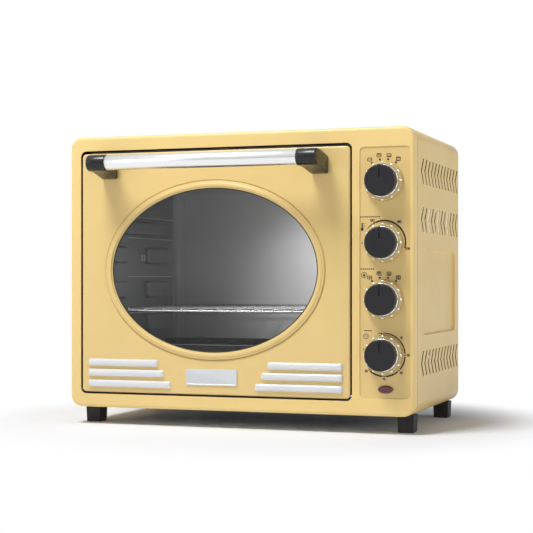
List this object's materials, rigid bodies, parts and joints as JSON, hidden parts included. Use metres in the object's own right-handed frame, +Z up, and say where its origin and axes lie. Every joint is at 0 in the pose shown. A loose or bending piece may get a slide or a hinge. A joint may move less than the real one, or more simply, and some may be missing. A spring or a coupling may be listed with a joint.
{
  "type": "toaster oven",
  "caption": "Retro counter-top oven with a drop-down oval-window door, bar handle, dials on the right, side vents, wire rack and baking tray.",
  "frame": {"origin": "centre of the bounding box, on the plane the feet stand on", "axes": "+X to the right of someone facing the door, +Y from the door to the back, +Z up"},
  "size_m": [0.495, 0.3485, 0.402],
  "materials": {
    "cream_paint": "warm cream gloss enamel on pressed steel",
    "fascia_paint": "warm cream gloss enamel with printed dial marks",
    "zinc_sheet": "bright zinc-plated sheet, satin",
    "screw_steel": "nickel-plated steel",
    "black_feet": "moulded black, fine texture",
    "cavity_steel": "aluminised sheet, dull satin",
    "rod_steel": "oxidised stainless sheath",
    "white_ceramic": "unglazed steatite",
    "motor_steel": "plated laminations and pressed blades",
    "control_plastic": "heat-resistant moulding",
    "lamp_body": "natural nylon holder",
    "red_lens": "translucent dark red, glossy",
    "clear_glass": "clear tempered glass",
    "handle_aluminium": "satin anodised tube",
    "handle_black": "moulded black, satin",
    "white_trim": "glossy white moulding",
    "badge_silver": "fine brushed plate, blank",
    "rack_chrome": "bright plated wire",
    "black_enamel": "black vitreous enamel",
    "tray_aluminium": "mill finish sheet",
    "knob_cream": "cream moulding, satin gloss",
    "knob_silver": "bright plated ring and studs",
    "knob_black": "charcoal moulding, fine texture",
    "shaft_brass": "turned brass"
  },
  "bodies": {
    "housing": {"front_frame": "cream_paint", "housing_wrap": "cream_paint", "control_fascia": "fascia_paint", "base_plate": "zinc_sheet", "rear_panel": "zinc_sheet", "hinge_brackets": "zinc_sheet", "fan_cowl": "zinc_sheet", "rear_screws": "screw_steel", "feet": "black_feet", "cavity_left_wall": "cavity_steel", "cavity_right_wall": "cavity_steel", "cavity_roof": "cavity_steel", "cavity_back_wall": "cavity_steel", "cavity_floor": "cavity_steel", "cavity_collar": "cavity_steel", "upper_heating_rods": "rod_steel", "lower_heating_rods": "rod_steel", "rod_insulators": "white_ceramic", "fan_motor": "motor_steel", "function_switch": "control_plastic", "thermostat": "control_plastic", "convection_switch": "control_plastic", "timer": "control_plastic", "cord_gland": "control_plastic", "pilot_lamp": "lamp_body", "pilot_lens": "red_lens"},
    "door": {"door_outer_panel": "cream_paint", "door_inner_panel": "zinc_sheet", "door_glass": "clear_glass", "glass_clips": "zinc_sheet", "handle_tube": "handle_aluminium", "handle_bracket_left": "handle_black", "handle_bracket_right": "handle_black", "handle_screws": "screw_steel", "trim_bars_left": "white_trim", "trim_bars_right": "white_trim", "badge_plate": "badge_silver", "stay_arm_left": "zinc_sheet", "stay_arm_right": "zinc_sheet"},
    "rack": {"wire_rack": "rack_chrome"},
    "tray": {"baking_tray": "black_enamel"},
    "crumbs": {"crumb_tray": "tray_aluminium"},
    "fan": {"fan_impeller": "motor_steel"},
    "knob_a": {"knob_a_skirt": "knob_cream", "knob_a_trim": "knob_silver", "knob_a_cap": "knob_black", "knob_a_shaft": "shaft_brass"},
    "knob_b": {"knob_b_skirt": "knob_cream", "knob_b_trim": "knob_silver", "knob_b_cap": "knob_black", "knob_b_shaft": "shaft_brass"},
    "knob_c": {"knob_c_skirt": "knob_cream", "knob_c_trim": "knob_silver", "knob_c_cap": "knob_black", "knob_c_shaft": "shaft_brass"},
    "knob_d": {"knob_d_skirt": "knob_cream", "knob_d_trim": "knob_silver", "knob_d_cap": "knob_black", "knob_d_shaft": "shaft_brass"}
  },
  "joints": [
    {"name": "door_hinge", "type": "hinge", "parent": "housing", "child": "door", "pos_m": [-0.0335, -0.114, 0.049], "axis": [1, 0, 0], "range_deg": [0, 85], "stiffness_Nm_per_rad": 1.2, "springref_deg": -51.57},
    {"name": "rack_slide", "type": "slide", "parent": "housing", "child": "rack", "axis": [0, -1, 0], "range_m": [0, 0.12]},
    {"name": "tray_slide", "type": "slide", "parent": "housing", "child": "tray", "axis": [0, -1, 0], "range_m": [0, 0.06]},
    {"name": "crumb_tray_slide", "type": "slide", "parent": "housing", "child": "crumbs", "axis": [0, -1, 0], "range_m": [0, 0.021]},
    {"name": "function_knob_turn", "type": "hinge", "parent": "housing", "child": "knob_a", "pos_m": [0.207, -0.118, 0.3306], "axis": [0, 1, 0], "range_deg": [-33.75, 33.75]},
    {"name": "temperature_knob_turn", "type": "hinge", "parent": "housing", "child": "knob_b", "pos_m": [0.207, -0.118, 0.2504], "axis": [0, 1, 0], "range_deg": [-90, 100]},
    {"name": "convection_knob_turn", "type": "hinge", "parent": "housing", "child": "knob_c", "pos_m": [0.207, -0.118, 0.1765], "axis": [0, 1, 0], "range_deg": [-33.75, 33.75]},
    {"name": "timer_knob_turn", "type": "hinge", "parent": "housing", "child": "knob_d", "pos_m": [0.207, -0.118, 0.1044], "axis": [0, 1, 0], "range_deg": [-75, 225]},
    {"name": "fan_spin", "type": "hinge", "parent": "housing", "child": "fan", "pos_m": [0.163, -0.0055, 0.209], "axis": [1, 0, 0], "continuous": true}
  ],
  "couplings": [
    {"joint": "rack_slide", "follows": "door_hinge", "m_per_rad": 0.08},
    {"joint": "tray_slide", "follows": "door_hinge", "m_per_rad": 0.04},
    {"joint": "crumb_tray_slide", "follows": "door_hinge", "m_per_rad": 0.014}
  ]
}
